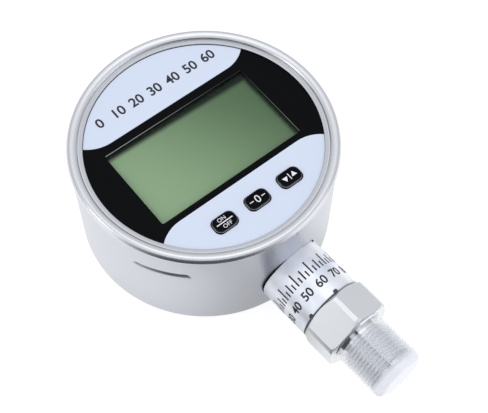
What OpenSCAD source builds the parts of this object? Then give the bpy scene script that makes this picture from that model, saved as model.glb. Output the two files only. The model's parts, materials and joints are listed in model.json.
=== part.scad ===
// Digital pressure gauge with a lower screw connection.
// The back face lies on z = 0, the face looks along +Z and the stem leaves along -Y.
// The origin is the centre of the back face. Lengths are in millimetres.

/* [Case] */
// Outside diameter of the case wall
case_d = 100; // [96:1:120]
// Height of the case wall, from the back face to its mouth
case_h = 48.2; // [47:0.2:58]
// Thickness of the case sheet
case_t = 1.2; // [0.8:0.1:1.5]
// Radius of the rounded back edge
back_round = 3; // [2:0.25:3.5]
// Height of the slits above the back face
slit_z = 36.3; // [34:0.1:37.5]
// Height of one slit
slit_h = 0.9; // [0.6:0.1:1.2]
// Arc of the wall that one slit takes, in degrees
slit_angle = 24; // [16:1:36]
// Direction of the first slit, in degrees from the stem
slit_turn = -58.5; // [-62:0.5:-56]
// How far the pressed lug above a slit reaches inwards
lug_depth = 1.9; // [1.4:0.1:2.4]
// Thickness of a pressed lug
lug_t = 1; // [0.8:0.1:1.2]

/* [Battery door] */
// Diameter of the battery door
door_d = 67.4; // [66:0.2:70]
// Thickness of the battery door
door_t = 1.2; // [1.2:0.1:1.6]
// Width of the ledge that the door seats on
door_seat = 5; // [4.8:0.1:5.2]
// Thickness of the door gasket
door_gasket_t = 0.6; // [0.4:0.1:0.8]
// Thread diameter of a door screw
door_screw_d = 2.5; // [2:0.1:2.6]
// Head diameter of a door screw
door_head_d = 4.4; // [4:0.1:4.6]

/* [Bezel] */
// Width of the flattened rolled bead
bead_w = 3.9; // [3.6:0.1:4.2]
// Height of the bead
bead_h = 2.4; // [2:0.1:2.8]
// How far the bead stands out past the case wall
bead_proud = 0.6; // [0.3:0.1:0.9]
// Width of the rim, from the outside of the case wall in to the lip's edge
lip_w = 5.4; // [5:0.1:6]
// Thickness of the lip
lip_t = 0.75; // [0.6:0.05:0.9]
// Height of the lip's top above the mouth of the case
lip_rise = 0.7; // [0.5:0.1:0.9]
// Depth of the skirt inside the case
skirt_h = 1.3; // [1:0.1:1.5]
// Thickness of the skirt
skirt_t = 1; // [0.8:0.1:1.2]

/* [Dial] */
// Turn of the dial, keys and board about the case axis, in degrees
dial_turn = -3.05; // [-4:0.05:4]
// Thickness of the dial plate
plate_t = 1.6; // [1.5:0.1:1.8]
// Thickness of the pale film on the dial plate
film_t = 0.2; // [0.15:0.05:0.25]
// How far the black band reaches past the window, above and below
band_border = 3.05; // [2.5:0.05:3.5]
// How far inside the window's sides the band's edges begin to curve
band_bend = 4.8; // [3:0.1:6.5]
// Radius of the curve that ends each straight edge
band_curve = 14.7; // [13:0.1:17]

/* [Display] */
// Distance from the lip's edge to the sides of the window
window_side = 12.8; // [12.6:0.1:15.6]
// Distance from the lip's edge to the top and bottom of the window
window_end = 26.75; // [26.6:0.05:28.6]
// Sideways place of the window's centre
window_x = -0.7; // [-1:0.1:1]
// Radius of the window's corners
window_round = 0.8; // [0.5:0.1:1.5]
// Thickness of the clear pane
pane_t = 0.75; // [0.6:0.05:0.8]
// How far the pane reaches past the window on each side
pane_margin = 1.5; // [1:0.1:1.8]
// Thickness of the display glass
glass_t = 2.2; // [1.6:0.1:2.6]
// Gap between the clear pane and the display glass
glass_drop = 0.4; // [0.3:0.05:0.6]
// How far the display glass reaches past the window on each side
glass_margin = 1.2; // [1:0.1:1.6]
// Wall of the display frame outside the glass
frame_wall = 1.9; // [1.4:0.1:2]

/* [Keys] */
// Width of a key
key_w = 9.6; // [8.6:0.1:10]
// Height of a key across its face
key_h = 6.4; // [5.6:0.1:6.8]
// Radius of a key's corners
key_round = 2.2; // [1.5:0.1:2.6]
// Distance from one key to the next
key_pitch = 14.9; // [14.4:0.1:15.6]
// Distance from the lip's edge to the row of keys
key_edge = 13.25; // [12.6:0.05:13.6]
// How far a key stands out of the pale film
key_rise = 1; // [0.7:0.1:1.3]
// Travel of a key
key_travel = 0.5; // [0.3:0.05:0.6]
// Gap between a key and the edge of its opening
key_gap = 0.25; // [0.2:0.05:0.3]
// Width of the flange that keeps a key in
key_flange = 0.8; // [0.6:0.1:0.9]
// Thickness of that flange
key_flange_t = 1.3; // [1:0.1:1.5]

/* [Board] */
// Thickness of the circuit board
board_t = 1.6; // [1:0.1:2]
// Distance from the dial plate down to the board
board_drop = 7; // [6.8:0.1:8]
// Gap between the edge of the board and the inner ring
board_gap = 1.5; // [1:0.1:2]
// Thread diameter of a board screw
board_screw_d = 1.8; // [1.6:0.1:2]
// Diameter of the bosses that the board is screwed to
board_boss_d = 5; // [4.6:0.1:5.2]
// Side of a tact switch
switch_w = 6; // [5.6:0.1:6.4]
// Height of a tact switch's housing
switch_h = 3.5; // [3.2:0.1:3.8]
// Diameter of a switch plunger
plunger_d = 3.5; // [3:0.1:3.8]

/* [Batteries] */
// Length of one cell
cell_l = 44.5; // [42:0.1:45]
// Diameter of one cell
cell_d = 10.5; // [9.5:0.1:10.6]
// Wall of the battery holder
holder_wall = 1.5; // [1.2:0.1:1.8]
// Thickness of the contact plates
contact_t = 0.5; // [0.3:0.05:0.6]
// Diameter of a battery lead
battery_lead_d = 1.4; // [1:0.1:1.6]

/* [Stem] */
// Height of the stem axis above the back face
stem_z = 17.4; // [17:0.1:20]
// Diameter of the steel sleeve
sleeve_d = 26.9; // [25.5:0.1:27]
// Wall of the sleeve round the sensor
sleeve_wall = 2.05; // [1.9:0.05:2.2]
// Length of the sleeve outside the case wall
sleeve_l = 21.4; // [19:0.1:30]
// Thickness of the foil label
label_t = 0.13; // [0.08:0.01:0.2]
// Depth of the two crimp notches at the sleeve's end
crimp_depth = 0.5; // [0.3:0.1:0.8]
// Diameter of the sleeve's tail that passes the case wall
tail_d = 18; // [16:0.5:18.5]
// Bore of the tail, for the leads
tail_bore = 12; // [9:0.5:13]
// Least thickness of the black seal
seal_t = 0.2; // [0.15:0.05:0.4]
// Size across the flats of the lock nut
nut_af = 24; // [22:0.5:25]
// Thickness of the lock nut
nut_t = 4; // [3:0.5:5]
// Thickness of the saddle washer at its middle
washer_t = 3.8; // [3.2:0.1:4.2]

/* [Pressure port] */
// Size across the flats of the hexagon
hex_af = 27; // [26:0.5:27]
// Diameter that the hexagon's corners are turned down to
hex_round_d = 30.2; // [29:0.1:31]
// Length of the hexagon
hex_l = 14.1; // [12:0.1:18]
// Turn of the hexagon about the stem axis, in degrees
hex_turn = 6.6; // [0:0.1:10]
// Major diameter of the thread
thread_d = 20; // [18:0.5:22]
// Thread pitch
thread_pitch = 1.5; // [1.25:0.05:2]
// Length of the thread
thread_l = 16; // [12:0.5:20]
// Length of the undercut behind the thread
neck_l = 3; // [2:0.1:4]
// Diameter of the inlet bore
inlet_d = 4; // [3:0.1:5]
// Diameter of the spigot at the tip
spigot_d = 6; // [5.5:0.1:8]
// Length of the spigot at the tip
spigot_l = 1.7; // [1:0.1:3]

/* [Sensor] */
// Diameter of the sensor capsule
capsule_d = 19; // [16:0.5:19]
// Length of the sensor capsule
capsule_l = 11.5; // [9:0.5:12]
// Diameter of the sealing ring's cord
oring_d = 1; // [0.8:0.1:1.2]
// Diameter of a sensor lead
sensor_lead_d = 0.8; // [0.6:0.05:0.85]

/* [Thread cap] */
// Wall of the plastic cap
cap_t = 0.65; // [0.5:0.05:0.9]
// Gap between the cap and the thread
cap_gap = 0.25; // [0.2:0.05:0.4]
// Thickness of the cap's end
cap_end_t = 0.8; // [0.6:0.1:1.2]
// Radius of the cap's rounded end
cap_round = 2.7; // [2:0.1:3.2]

/* [Hidden] */
$fn = 96;

// Clearance between pieces of one body that seat on each other
fit_gap = 0.05;
// Clearance that a moving piece keeps to a piece that it doesn't run in
move_gap = 0.3;
// Clearance of a screw or of the stem's tail in the hole that it passes
hole_gap = 0.15;
// Clearance of a screw in the boss that it holds in
screw_gap = 0.03;
// How far every cut runs past the face that it opens
overrun = 1;

case_r = case_d / 2;
case_in_r = case_r - case_t;

// Places of the front stack, worked out downwards from the mouth of the case
lip_top_z = case_h + lip_rise;
plate_top_z = lip_top_z - lip_t - fit_gap;
plate_z = plate_top_z - plate_t;
film_top_z = plate_top_z + film_t;
board_top_z = plate_z - board_drop;
board_z = board_top_z - board_t;
glass_top_z = plate_z - glass_drop;
glass_z = glass_top_z - glass_t;
lip_r = case_r - lip_w;
// How far the dial plate reaches under the lip
plate_reach = 1.6;
plate_r = lip_r + plate_reach;
film_r = lip_r - fit_gap * 2;
bead_at_r = case_r + bead_proud - bead_w / 2;
bead_z = case_h + fit_gap + bead_h / 2;
bead_sides = 48;
skirt_r = case_in_r - fit_gap;

// The moulded ring that carries the dial plate on the lugs
ring_gap = 0.2;
ring_r = case_in_r - ring_gap;
ring_seat = 1.2;
ring_in_r = plate_r - ring_seat;
lug_z = slit_z + slit_h;
lug_top_z = lug_z + lug_t;
ring_z = lug_top_z + fit_gap;
ring_top_z = plate_z - fit_gap;
board_r = ring_in_r - board_gap;
slit_count = 3;
// A lug spans a little less of the wall than the slit below it, in degrees
lug_angle = slit_angle - 1;

// The battery door and its ledge, worked out upwards from the back face
door_r = door_d / 2;
door_gap = 0.3;
recess_r = door_r + door_gap;
recess_h = door_t + door_gasket_t + 2 * fit_gap;
ledge_z = recess_h + case_t;
opening_r = recess_r - door_seat;
door_screw_at = opening_r + door_seat / 2;
// Directions of the door screws, which pass beside the long sides of the battery holder
door_screw_turns = [60, 120, 240, 300];
door_boss_d = door_seat - 2 * fit_gap;
door_boss_h = 4;
door_screw_l = ledge_z + door_boss_h - case_t;

// The battery holder, whose corners stand on the ledge
cell_r = cell_d / 2;
cell_count = 3;
cell_gap = 0.4;
spring_l = 1.6;
bay_l = cell_l + 2 * contact_t + spring_l + cell_gap;
bay_w = cell_count * (cell_d + cell_gap) + cell_gap;
holder_l = bay_l + 2 * holder_wall;
holder_w = bay_w + 2 * holder_wall;
holder_z = ledge_z + fit_gap;
cell_z = holder_z + cell_r + cell_gap;
bay_top_z = cell_z + cell_r + cell_gap;
holder_top_z = bay_top_z + holder_wall;
spring_d = 6;
nub_d = 3.8;
nub_l = 0.8;
pad_l = 30;
pad_w = 20;

// The stem, measured outwards from the case axis
sleeve_r = sleeve_d / 2;
sleeve_end = case_r + sleeve_l;
chamber_r = sleeve_r - sleeve_wall;
saddle_share = 1.2;
saddle_r = case_r * saddle_share;
saddle_y = saddle_r - case_r - fit_gap - seal_t - fit_gap;
tail_r = tail_d / 2;
washer_r_share = 0.88;
washer_r = sleeve_r * washer_r_share;
washer_end = case_in_r - washer_t;
nut_end = washer_end - fit_gap - nut_t;
tail_past = 1;
tail_end = nut_end - tail_past;
label_start_gap = 1.2;
label_end_gap = 0.4;
crimp_turns = [-51, 4.5];
crimp_w = 2.2;
crimp_l = 1.5;

// The pressure port, along the same measure
hex_gap = 0.1;
hex_s = sleeve_end + hex_gap;
hex_end = hex_s + hex_l;
hex_corner_r = hex_af / 2 / cos(30);
hex_rear_chamfer = 2.4;
hex_front_chamfer = 0.9;
hex_front_face_share = 0.96;
thread_r = thread_d / 2;
// Depth of the ridge for this pitch, as the metric thread has it
thread_depth_share = 0.6134;
crest_share = 0.125;
core_r = thread_r - thread_depth_share * thread_pitch;
neck_depth = 0.2;
// How far the sensor's cavity reaches into the hexagon
cavity_in_hex = 3;
neck_r = core_r - neck_depth;
thread_s = hex_end + neck_l;
thread_end = thread_s + thread_l;
port_tip = thread_end + spigot_l;
tip_chamfer = 1;
capsule_r = capsule_d / 2;
cavity_r = capsule_r + fit_gap;
oring_r = oring_d / 2;
cavity_floor = hex_s + cavity_in_hex;
capsule_s = cavity_floor - oring_d - fit_gap - capsule_l;
sensor_ring_l = 1.2;
sensor_ring_s = capsule_s - fit_gap - sensor_ring_l;
port_rear = sensor_ring_s;
port_rear_r = chamber_r - fit_gap;
chamber_spare = 2;
chamber_floor = port_rear - chamber_spare;
capsule_lip = 1.5;

// The cap over the thread
cap_in_r = thread_r + cap_gap;
cap_r = cap_in_r + cap_t;
cap_mouth_gap = 1.7;
cap_mouth = hex_end + cap_mouth_gap;
cap_in_end = port_tip + move_gap;
cap_end = cap_in_end + cap_end_t;

// Keys, from the plate downwards
key_bottom_z = plate_z - move_gap - key_flange_t;
key_top_z = film_top_z + key_rise;
key_crown = 0.5;
key_crown_mid = 0.18;
key_crown_inset = 0.55;
key_crown_mid_inset = 0.2;
slice = 0.01;
plunger_gap = 0.08;
plunger_in = 1.5;

// Board parts
boss_margin = 1;
boss_gap = 0.7;
boss_at = board_r - board_boss_d / 2 - boss_margin;
board_screw_l = 7;
board_head_d = 4;
board_head_h = 1.3;
strip_w = 1.6;
strip_wall = 0.5;
guide_inset = 3;

// The window and the band lie a little below the dial's centre
window_y = -0.45;
band_y = -0.1;
window_w = 2 * (lip_r - window_side);
window_h = 2 * (lip_r - window_end);
band_h = window_h + 2 * band_border;
band_straight = window_w / 2 - band_bend;
key_drop = lip_r - key_edge;

// The bosses stand above and below the display frame, near the board's edge
glass_in_w = window_w + 2 * (glass_margin + fit_gap);
glass_in_h = window_h + 2 * (glass_margin + fit_gap);
boss_y = glass_in_h / 2 + frame_wall - window_y + boss_gap + board_boss_d / 2;
boss_x = sqrt(boss_at * boss_at - boss_y * boss_y);

module along_stem() {
    translate([0, 0, stem_z]) rotate([90, 0, 0]) children();
}

module on_dial() {
    rotate([0, 0, dial_turn]) children();
}

// A disc of height h, from z0 upwards
module disc(r, z0, h) {
    translate([0, 0, z0]) cylinder(r = r, h = h);
}

module ring(r_out, r_in, z0, h) {
    difference() {
        disc(r_out, z0, h);
        disc(r_in, z0 - overrun, h + 2 * overrun);
    }
}

// A box centred on x and y, from z0 upwards
module block(w, h, z0, t) {
    translate([-w / 2, -h / 2, z0]) cube([w, h, t]);
}

module rounded_outline(w, h, r) {
    square([w - 2 * r, h], center = true);
    square([w, h - 2 * r], center = true);
    for (x = [-1, 1], y = [-1, 1])
        translate([x * (w / 2 - r), y * (h / 2 - r)]) circle(r = r);
}

// A filled can whose lower edge is rounded, as a solid of revolution
module rounded_can(r, h, edge) {
    rotate_extrude() {
        translate([0, edge]) square([r, h - edge]);
        square([r - edge, edge]);
        intersection() {
            translate([r - edge, edge]) circle(r = edge);
            translate([r - edge, 0]) square([edge, edge]);
        }
    }
}

// A wedge of the given angle, centred on the direction of a slit
module slit_sector(angle, r, z0, h, turn) {
    half_w = r * tan(angle / 2);
    translate([0, 0, z0]) rotate([0, 0, turn - 90]) linear_extrude(height = h)
        polygon([[0, 0], [r, -half_w], [r, half_w]]);
}

module slits() {
    for (i = [0 : slit_count - 1])
        intersection() {
            ring(case_r + overrun, case_in_r - overrun, slit_z, slit_h);
            slit_sector(slit_angle, case_r + 2 * overrun, slit_z - overrun,
                slit_h + 2 * overrun, slit_turn + i * 360 / slit_count);
        }
}

module lugs() {
    for (i = [0 : slit_count - 1])
        intersection() {
            ring(case_in_r + case_t / 2, case_in_r - lug_depth, lug_z, lug_t);
            slit_sector(lug_angle, case_r, lug_z - overrun, lug_t + 2 * overrun,
                slit_turn + i * 360 / slit_count);
        }
}

module at_door_screws() {
    for (turn = door_screw_turns) rotate([0, 0, turn]) translate([door_screw_at, 0, 0]) children();
}

module case_shell() {
    color([0.83, 0.84, 0.86]) difference() {
        union() {
            difference() {
                rounded_can(case_r, case_h, back_round);
                translate([0, 0, case_t])
                    rounded_can(case_in_r, case_h, back_round - case_t);
            }
            disc(recess_r + case_t, 0, ledge_z);
            at_door_screws() disc(door_boss_d / 2, ledge_z - case_t / 2, door_boss_h + case_t / 2);
            lugs();
        }
        disc(recess_r, -overrun, recess_h + overrun);
        disc(opening_r, -overrun, ledge_z + 2 * overrun);
        at_door_screws()
            disc(door_screw_d / 2 + screw_gap, -overrun, ledge_z + door_boss_h + 2 * overrun);
        slits();
        along_stem() disc(tail_r + hole_gap, case_in_r - 2 * overrun, case_t + 4 * overrun);
    }
}

// The points of an oval, which is the section of the bead
function oval(w, h, sides) = [for (i = [0 : sides - 1])
    let (turn = 360 * i / sides) [w / 2 * cos(turn), h / 2 * sin(turn)]];

module bezel_ring() {
    lip_z = lip_top_z - lip_t;
    color([0.86, 0.87, 0.88]) union() {
        rotate_extrude() translate([bead_at_r, bead_z]) polygon(oval(bead_w, bead_h, bead_sides));
        rotate_extrude() polygon([[lip_r, lip_z], [lip_r, lip_top_z], [skirt_r, lip_top_z],
            [skirt_r, case_h - skirt_h], [skirt_r - skirt_t, case_h - skirt_h],
            [skirt_r - skirt_t, lip_z]]);
    }
}

module bezel_gasket() {
    r_out = skirt_r - skirt_t - fit_gap;
    color([0.08, 0.08, 0.08])
        ring(r_out, plate_r + fit_gap, ring_top_z + fit_gap,
            lip_top_z - lip_t - ring_top_z - 2 * fit_gap);
}

module inner_ring() {
    color([0.2, 0.2, 0.21]) ring(ring_r, ring_in_r, ring_z, ring_top_z - ring_z);
}

module at_keys() {
    for (i = [-1 : 1]) translate([i * key_pitch, -key_drop, 0]) children();
}

module at_bosses() {
    for (x = [-1, 1], y = [-1, 1])
        translate([x * boss_x, y * boss_y, 0]) children();
}

module at_window() {
    translate([window_x, window_y, 0]) children();
}

module key_hole(z0, h) {
    translate([0, 0, z0]) linear_extrude(height = h)
        rounded_outline(key_w + 2 * key_gap, key_h + 2 * key_gap, key_round + key_gap);
}

module dial_plate() {
    color([0.05, 0.05, 0.055]) on_dial() difference() {
        union() {
            disc(plate_r, plate_z, plate_t);
            at_bosses() disc(board_boss_d / 2, board_top_z + fit_gap, board_drop + plate_t / 2);
        }
        at_window() {
            translate([0, 0, plate_z - overrun]) linear_extrude(height = plate_t + 2 * overrun)
                rounded_outline(window_w, window_h, window_round);
            block(window_w + 2 * (pane_margin + fit_gap), window_h + 2 * (pane_margin + fit_gap),
                plate_z - overrun, pane_t + 2 * fit_gap + overrun);
        }
        at_keys() key_hole(plate_z - overrun, plate_t + 2 * overrun);
        at_bosses() disc(board_screw_d / 2 + screw_gap, board_top_z - overrun,
            board_screw_l - board_t + overrun);
    }
}

// One end of the dial above the black band, cut to the circle inside the lip
module pale_outline() {
    edge_y = band_h / 2;
    intersection() {
        circle(r = film_r);
        union() {
            translate([-band_straight, edge_y]) square([2 * band_straight, film_r]);
            for (x = [-1, 1])
                translate([x * band_straight, edge_y + band_curve]) circle(r = band_curve);
        }
    }
}

module upper_film() {
    color([0.87, 0.91, 0.96]) on_dial() translate([0, band_y, plate_top_z])
        linear_extrude(height = film_t) pale_outline();
}

module lower_film() {
    color([0.87, 0.91, 0.96]) on_dial() difference() {
        translate([0, band_y, plate_top_z]) mirror([0, 1, 0])
            linear_extrude(height = film_t) pale_outline();
        at_keys() key_hole(plate_top_z - overrun, film_t + 2 * overrun);
    }
}

module window_pane() {
    color([0.8, 0.86, 0.84, 0.35]) on_dial() at_window()
        block(window_w + 2 * pane_margin, window_h + 2 * pane_margin, plate_z, pane_t);
}

module strip_blocks(extra) {
    reach = window_h / 2 - guide_inset / 2 + strip_wall + strip_w / 2;
    for (y = [-1, 1]) translate([0, y * reach, 0])
        block(window_w - guide_inset + 2 * extra, strip_w + 2 * extra, board_top_z - extra,
            glass_z - board_top_z + 2 * extra - fit_gap);
}

module display_frame() {
    color([0.09, 0.09, 0.1]) on_dial() at_window() difference() {
        intersection() {
            block(glass_in_w + 2 * frame_wall, glass_in_h + 2 * frame_wall, board_top_z,
                board_drop - fit_gap);
            translate([-window_x, -window_y, 0]) disc(board_r, board_z, case_h);
        }
        block(glass_in_w, glass_in_h, glass_z - fit_gap, board_drop);
        block(window_w - guide_inset, window_h - guide_inset, board_top_z - overrun,
            board_drop + 2 * overrun);
        strip_blocks(fit_gap);
    }
}

module display_glass() {
    color([0.5, 0.6, 0.45]) on_dial() at_window()
        block(window_w + 2 * glass_margin, window_h + 2 * glass_margin, glass_z, glass_t);
}

module light_guide() {
    color([0.9, 0.92, 0.9]) on_dial() at_window()
        block(window_w - guide_inset - 2 * fit_gap, window_h - guide_inset - 2 * fit_gap,
            board_top_z, glass_z - board_top_z - fit_gap);
}

module contact_strips() {
    color([0.55, 0.55, 0.6]) on_dial() at_window() strip_blocks(0);
}

// One key: a crowned head, a shank through the plate and a flange under it
module key_cap(i) {
    color([0.04, 0.04, 0.05]) on_dial() translate([i * key_pitch, -key_drop, 0]) {
        translate([0, 0, key_bottom_z]) linear_extrude(height = key_flange_t)
            rounded_outline(key_w + 2 * key_flange, key_h + 2 * key_flange, key_round + key_flange);
        translate([0, 0, key_bottom_z]) linear_extrude(height = key_top_z - key_crown - key_bottom_z)
            rounded_outline(key_w, key_h, key_round);
        hull() {
            key_slice(key_top_z - key_crown - slice, 0);
            key_slice(key_top_z - key_crown_mid, key_crown_mid_inset);
            key_slice(key_top_z - slice, key_crown_inset);
        }
    }
}

module key_slice(z0, inset) {
    translate([0, 0, z0]) linear_extrude(height = slice)
        rounded_outline(key_w - 2 * inset, key_h - 2 * inset, key_round - inset, $fn = 32);
}

module key_power() { key_cap(-1); }
module key_zero() { key_cap(0); }
module key_unit() { key_cap(1); }

// The plunger of the switch under a key, which travels with it
module plunger(i) {
    low_z = board_top_z + switch_h - plunger_in;
    color([0.85, 0.82, 0.72]) on_dial() translate([i * key_pitch, -key_drop, 0])
        disc(plunger_d / 2, low_z, key_bottom_z - low_z);
}

module plunger_power() { plunger(-1); }
module plunger_zero() { plunger(0); }
module plunger_unit() { plunger(1); }

module tact_switches() {
    hole_h = plunger_in + key_travel + move_gap;
    color([0.12, 0.12, 0.12]) on_dial() at_keys() difference() {
        block(switch_w, switch_w, board_top_z, switch_h);
        disc(plunger_d / 2 + plunger_gap, board_top_z + switch_h - hole_h, hole_h + overrun);
    }
}

module main_board() {
    color([0.05, 0.35, 0.2]) on_dial() difference() {
        disc(board_r, board_z, board_t);
        at_bosses() disc(board_screw_d / 2 + hole_gap, board_z - overrun, board_t + 2 * overrun);
    }
}

module board_screws() {
    slot_w = 0.6;
    slot_h = 0.5;
    color([0.75, 0.76, 0.78]) on_dial() at_bosses() difference() {
        union() {
            disc(board_head_d / 2, board_z - board_head_h, board_head_h);
            disc(board_screw_d / 2, board_z - fit_gap, board_screw_l - fit_gap);
        }
        block(board_head_d + overrun, slot_w, board_z - board_head_h - overrun, slot_h + overrun);
    }
}

// A part that hangs under the board at a place given in shares of the board's radius
module under_board(x_share, y_share, h) {
    on_dial() translate([x_share * board_r, y_share * board_r, board_z - h]) children();
}

module processor_chip() {
    chip_w = 10;
    chip_h = 1.4;
    x_share = 0.02;
    y_share = 0.05;
    color([0.1, 0.1, 0.11]) under_board(x_share, y_share, chip_h) block(chip_w, chip_w, 0, chip_h);
}

module amplifier_chips() {
    chip_l = 5;
    chip_w = 4;
    chip_h = 1.6;
    x_shares = [-0.38, -0.2];
    y_share = -0.42;
    color([0.1, 0.1, 0.11]) for (x_share = x_shares)
        under_board(x_share, y_share, chip_h) block(chip_l, chip_w, 0, chip_h);
}

module crystal() {
    can_l = 10;
    can_w = 4.4;
    can_h = 3.4;
    x_share = 0.36;
    y_share = 0.02;
    color([0.8, 0.8, 0.82]) under_board(x_share, y_share, can_h) linear_extrude(height = can_h)
        rounded_outline(can_l, can_w, can_w / 2 - fit_gap);
}

module capacitors() {
    can_d = 6;
    can_h = 6.5;
    x_share = -0.55;
    y_shares = [0.05, 0.27];
    color([0.15, 0.18, 0.3]) for (y_share = y_shares)
        under_board(x_share, y_share, can_h) disc(can_d / 2, 0, can_h);
}

// The sockets under the board that take the leads from below
socket_h = 4;
socket_l = 8;
socket_w = 4.5;
sensor_socket_share = -0.66;
battery_socket_x_share = 0.5;
battery_socket_y_share = 0.5;
sensor_lead_count = 4;
sensor_lead_space = 1.3;
battery_lead_space = 2.4;
// How far inside the holder's end the battery leads leave it
battery_lead_inset = 5;

module lead_sockets() {
    color([0.92, 0.9, 0.84]) {
        translate([0, sensor_socket_share * board_r, board_z - socket_h])
            block(socket_l, socket_w, 0, socket_h);
        translate([battery_socket_x_share * board_r, battery_socket_y_share * board_r,
            board_z - socket_h]) block(socket_l, socket_w, 0, socket_h);
    }
}

module battery_holder() {
    color([0.1, 0.1, 0.1]) difference() {
        block(holder_l, holder_w, holder_z, holder_top_z - holder_z);
        block(bay_l, bay_w, holder_z - overrun, bay_top_z - holder_z + overrun);
    }
}

function cell_y(i) = (i - (cell_count - 1) / 2) * (cell_d + cell_gap);
function cell_way(i) = i % 2 == 0 ? 1 : -1;

module at_cells() {
    for (i = [0 : cell_count - 1])
        translate([0, cell_y(i), cell_z]) rotate([0, 90 * cell_way(i), 0]) children();
}

module battery_cells() {
    low = -cell_l / 2 + spring_l / 2 + cell_gap / 2;
    color([0.3, 0.45, 0.6]) at_cells() union() {
        disc(cell_r, low, cell_l - nub_l);
        disc(nub_d / 2, low + cell_l - nub_l - fit_gap, nub_l + fit_gap);
    }
}

module battery_contacts() {
    plate_w = 8;
    color([0.82, 0.82, 0.78]) at_cells() union() {
        block(plate_w, plate_w, bay_l / 2 - contact_t, contact_t - fit_gap);
        block(plate_w, plate_w, fit_gap - bay_l / 2, contact_t - fit_gap);
        translate([0, 0, contact_t - bay_l / 2 - fit_gap])
            cylinder(d1 = spring_d, d2 = nub_d, h = spring_l - fit_gap);
    }
}

module battery_pad() {
    color([0.3, 0.3, 0.32]) block(pad_l, pad_w, door_t, holder_z + cell_gap - door_t - fit_gap);
}

module battery_door() {
    color([0.82, 0.83, 0.85]) difference() {
        disc(door_r, 0, door_t);
        at_door_screws() {
            disc(door_screw_d / 2 + hole_gap, -overrun, door_t + 2 * overrun);
            door_head(hole_gap, overrun);
        }
    }
}

// The countersunk head of a door screw, with its face on the back plane
module door_head(extra, below) {
    head_r = door_head_d / 2 + extra;
    neck = door_screw_d / 2 + extra;
    cylinder(r1 = head_r, r2 = neck, h = head_r - neck);
    disc(head_r, -below, below);
}

module door_gasket() {
    color([0.08, 0.08, 0.08]) difference() {
        ring(door_r, opening_r + fit_gap, door_t + fit_gap, door_gasket_t);
        at_door_screws() disc(door_screw_d / 2 + hole_gap, 0, ledge_z);
    }
}

module door_screws() {
    slot_w = 0.6;
    slot_h = 0.5;
    color([0.78, 0.79, 0.8]) at_door_screws() difference() {
        union() {
            door_head(0, 0);
            disc(door_screw_d / 2, fit_gap, door_screw_l);
        }
        for (slot_turn = [0, 90]) rotate([0, 0, slot_turn])
            block(door_screw_d, slot_w, -overrun, slot_h + overrun);
    }
}

// The cuts of the two notches that are pressed into the sleeve's end and its label
module crimp_notches() {
    along_stem() for (turn = crimp_turns)
        rotate([0, 0, -turn]) translate([-crimp_w / 2, sleeve_r - crimp_depth, sleeve_end - crimp_l])
            cube([crimp_w, crimp_depth + overrun, crimp_l + overrun]);
}

module stem_sleeve() {
    saddle_low = case_r - sleeve_r / 2;
    color([0.82, 0.83, 0.85]) difference() {
        union() {
            difference() {
                along_stem() disc(sleeve_r, saddle_low, sleeve_end - saddle_low);
                translate([0, saddle_y, 0]) disc(saddle_r, 0, case_h);
            }
            along_stem() disc(tail_r, tail_end, case_r + overrun - tail_end);
        }
        along_stem() {
            disc(tail_bore / 2, tail_end - overrun, chamber_floor - tail_end + 2 * overrun);
            disc(chamber_r, chamber_floor, sleeve_end - chamber_floor + overrun);
        }
        crimp_notches();
    }
}

module stem_label() {
    start = case_r + label_start_gap;
    color([0.8, 0.83, 0.9]) difference() {
        along_stem() ring(sleeve_r + fit_gap / 2 + label_t, sleeve_r + fit_gap / 2, start,
            sleeve_end - label_end_gap - start);
        crimp_notches();
    }
}

module stem_seal() {
    $fn = 720;
    color([0.05, 0.05, 0.05]) difference() {
        intersection() {
            along_stem() disc(sleeve_r - fit_gap, case_r - sleeve_r / 2, sleeve_r);
            translate([0, saddle_y, 0]) disc(saddle_r - fit_gap, 0, case_h);
        }
        disc(case_r + fit_gap, -overrun, case_h + 2 * overrun);
        along_stem() disc(tail_r + hole_gap, 0, case_d);
    }
}

module saddle_washer() {
    color([0.75, 0.76, 0.78]) difference() {
        intersection() {
            along_stem() disc(washer_r, washer_end, washer_t + overrun);
            disc(case_in_r - fit_gap, 0, case_h);
        }
        along_stem() disc(tail_r + hole_gap, 0, case_d);
    }
}

module lock_nut() {
    color([0.78, 0.78, 0.76]) along_stem() difference() {
        translate([0, 0, nut_end]) cylinder(r = nut_af / 2 / cos(30), h = nut_t, $fn = 6);
        disc(tail_r + fit_gap, nut_end - overrun, nut_t + 2 * overrun);
    }
}

module sensor_capsule() {
    color([0.85, 0.85, 0.86]) along_stem() difference() {
        disc(capsule_r, capsule_s, capsule_l);
        disc(capsule_r - capsule_lip, capsule_s - overrun, capsule_lip + overrun);
        disc(capsule_r - capsule_lip, capsule_s + capsule_l - fit_gap, overrun);
    }
}

module sensor_oring() {
    color([0.06, 0.06, 0.06]) along_stem() translate([0, 0, cavity_floor - oring_r - fit_gap / 2])
        rotate_extrude() translate([capsule_r - 2 * oring_d, 0]) circle(r = oring_r);
}

module sensor_ring() {
    key_slot_w = 1.6;
    color([0.75, 0.72, 0.6]) along_stem() difference() {
        ring(capsule_r, capsule_r / 2, sensor_ring_s, sensor_ring_l);
        block(capsule_d + overrun, key_slot_w, sensor_ring_s - overrun, sensor_ring_l / 2 + overrun);
    }
}

// The outline of the hexagon's chamfered ends, as one solid of revolution
module hex_limit() {
    flat_r = hex_af / 2;
    front_r = flat_r * hex_front_face_share;
    round_r = hex_round_d / 2;
    rotate_extrude() polygon([[0, hex_s], [flat_r, hex_s], [round_r, hex_s + hex_rear_chamfer],
        [round_r, hex_end - hex_front_chamfer], [front_r, hex_end], [0, hex_end]]);
}

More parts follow.
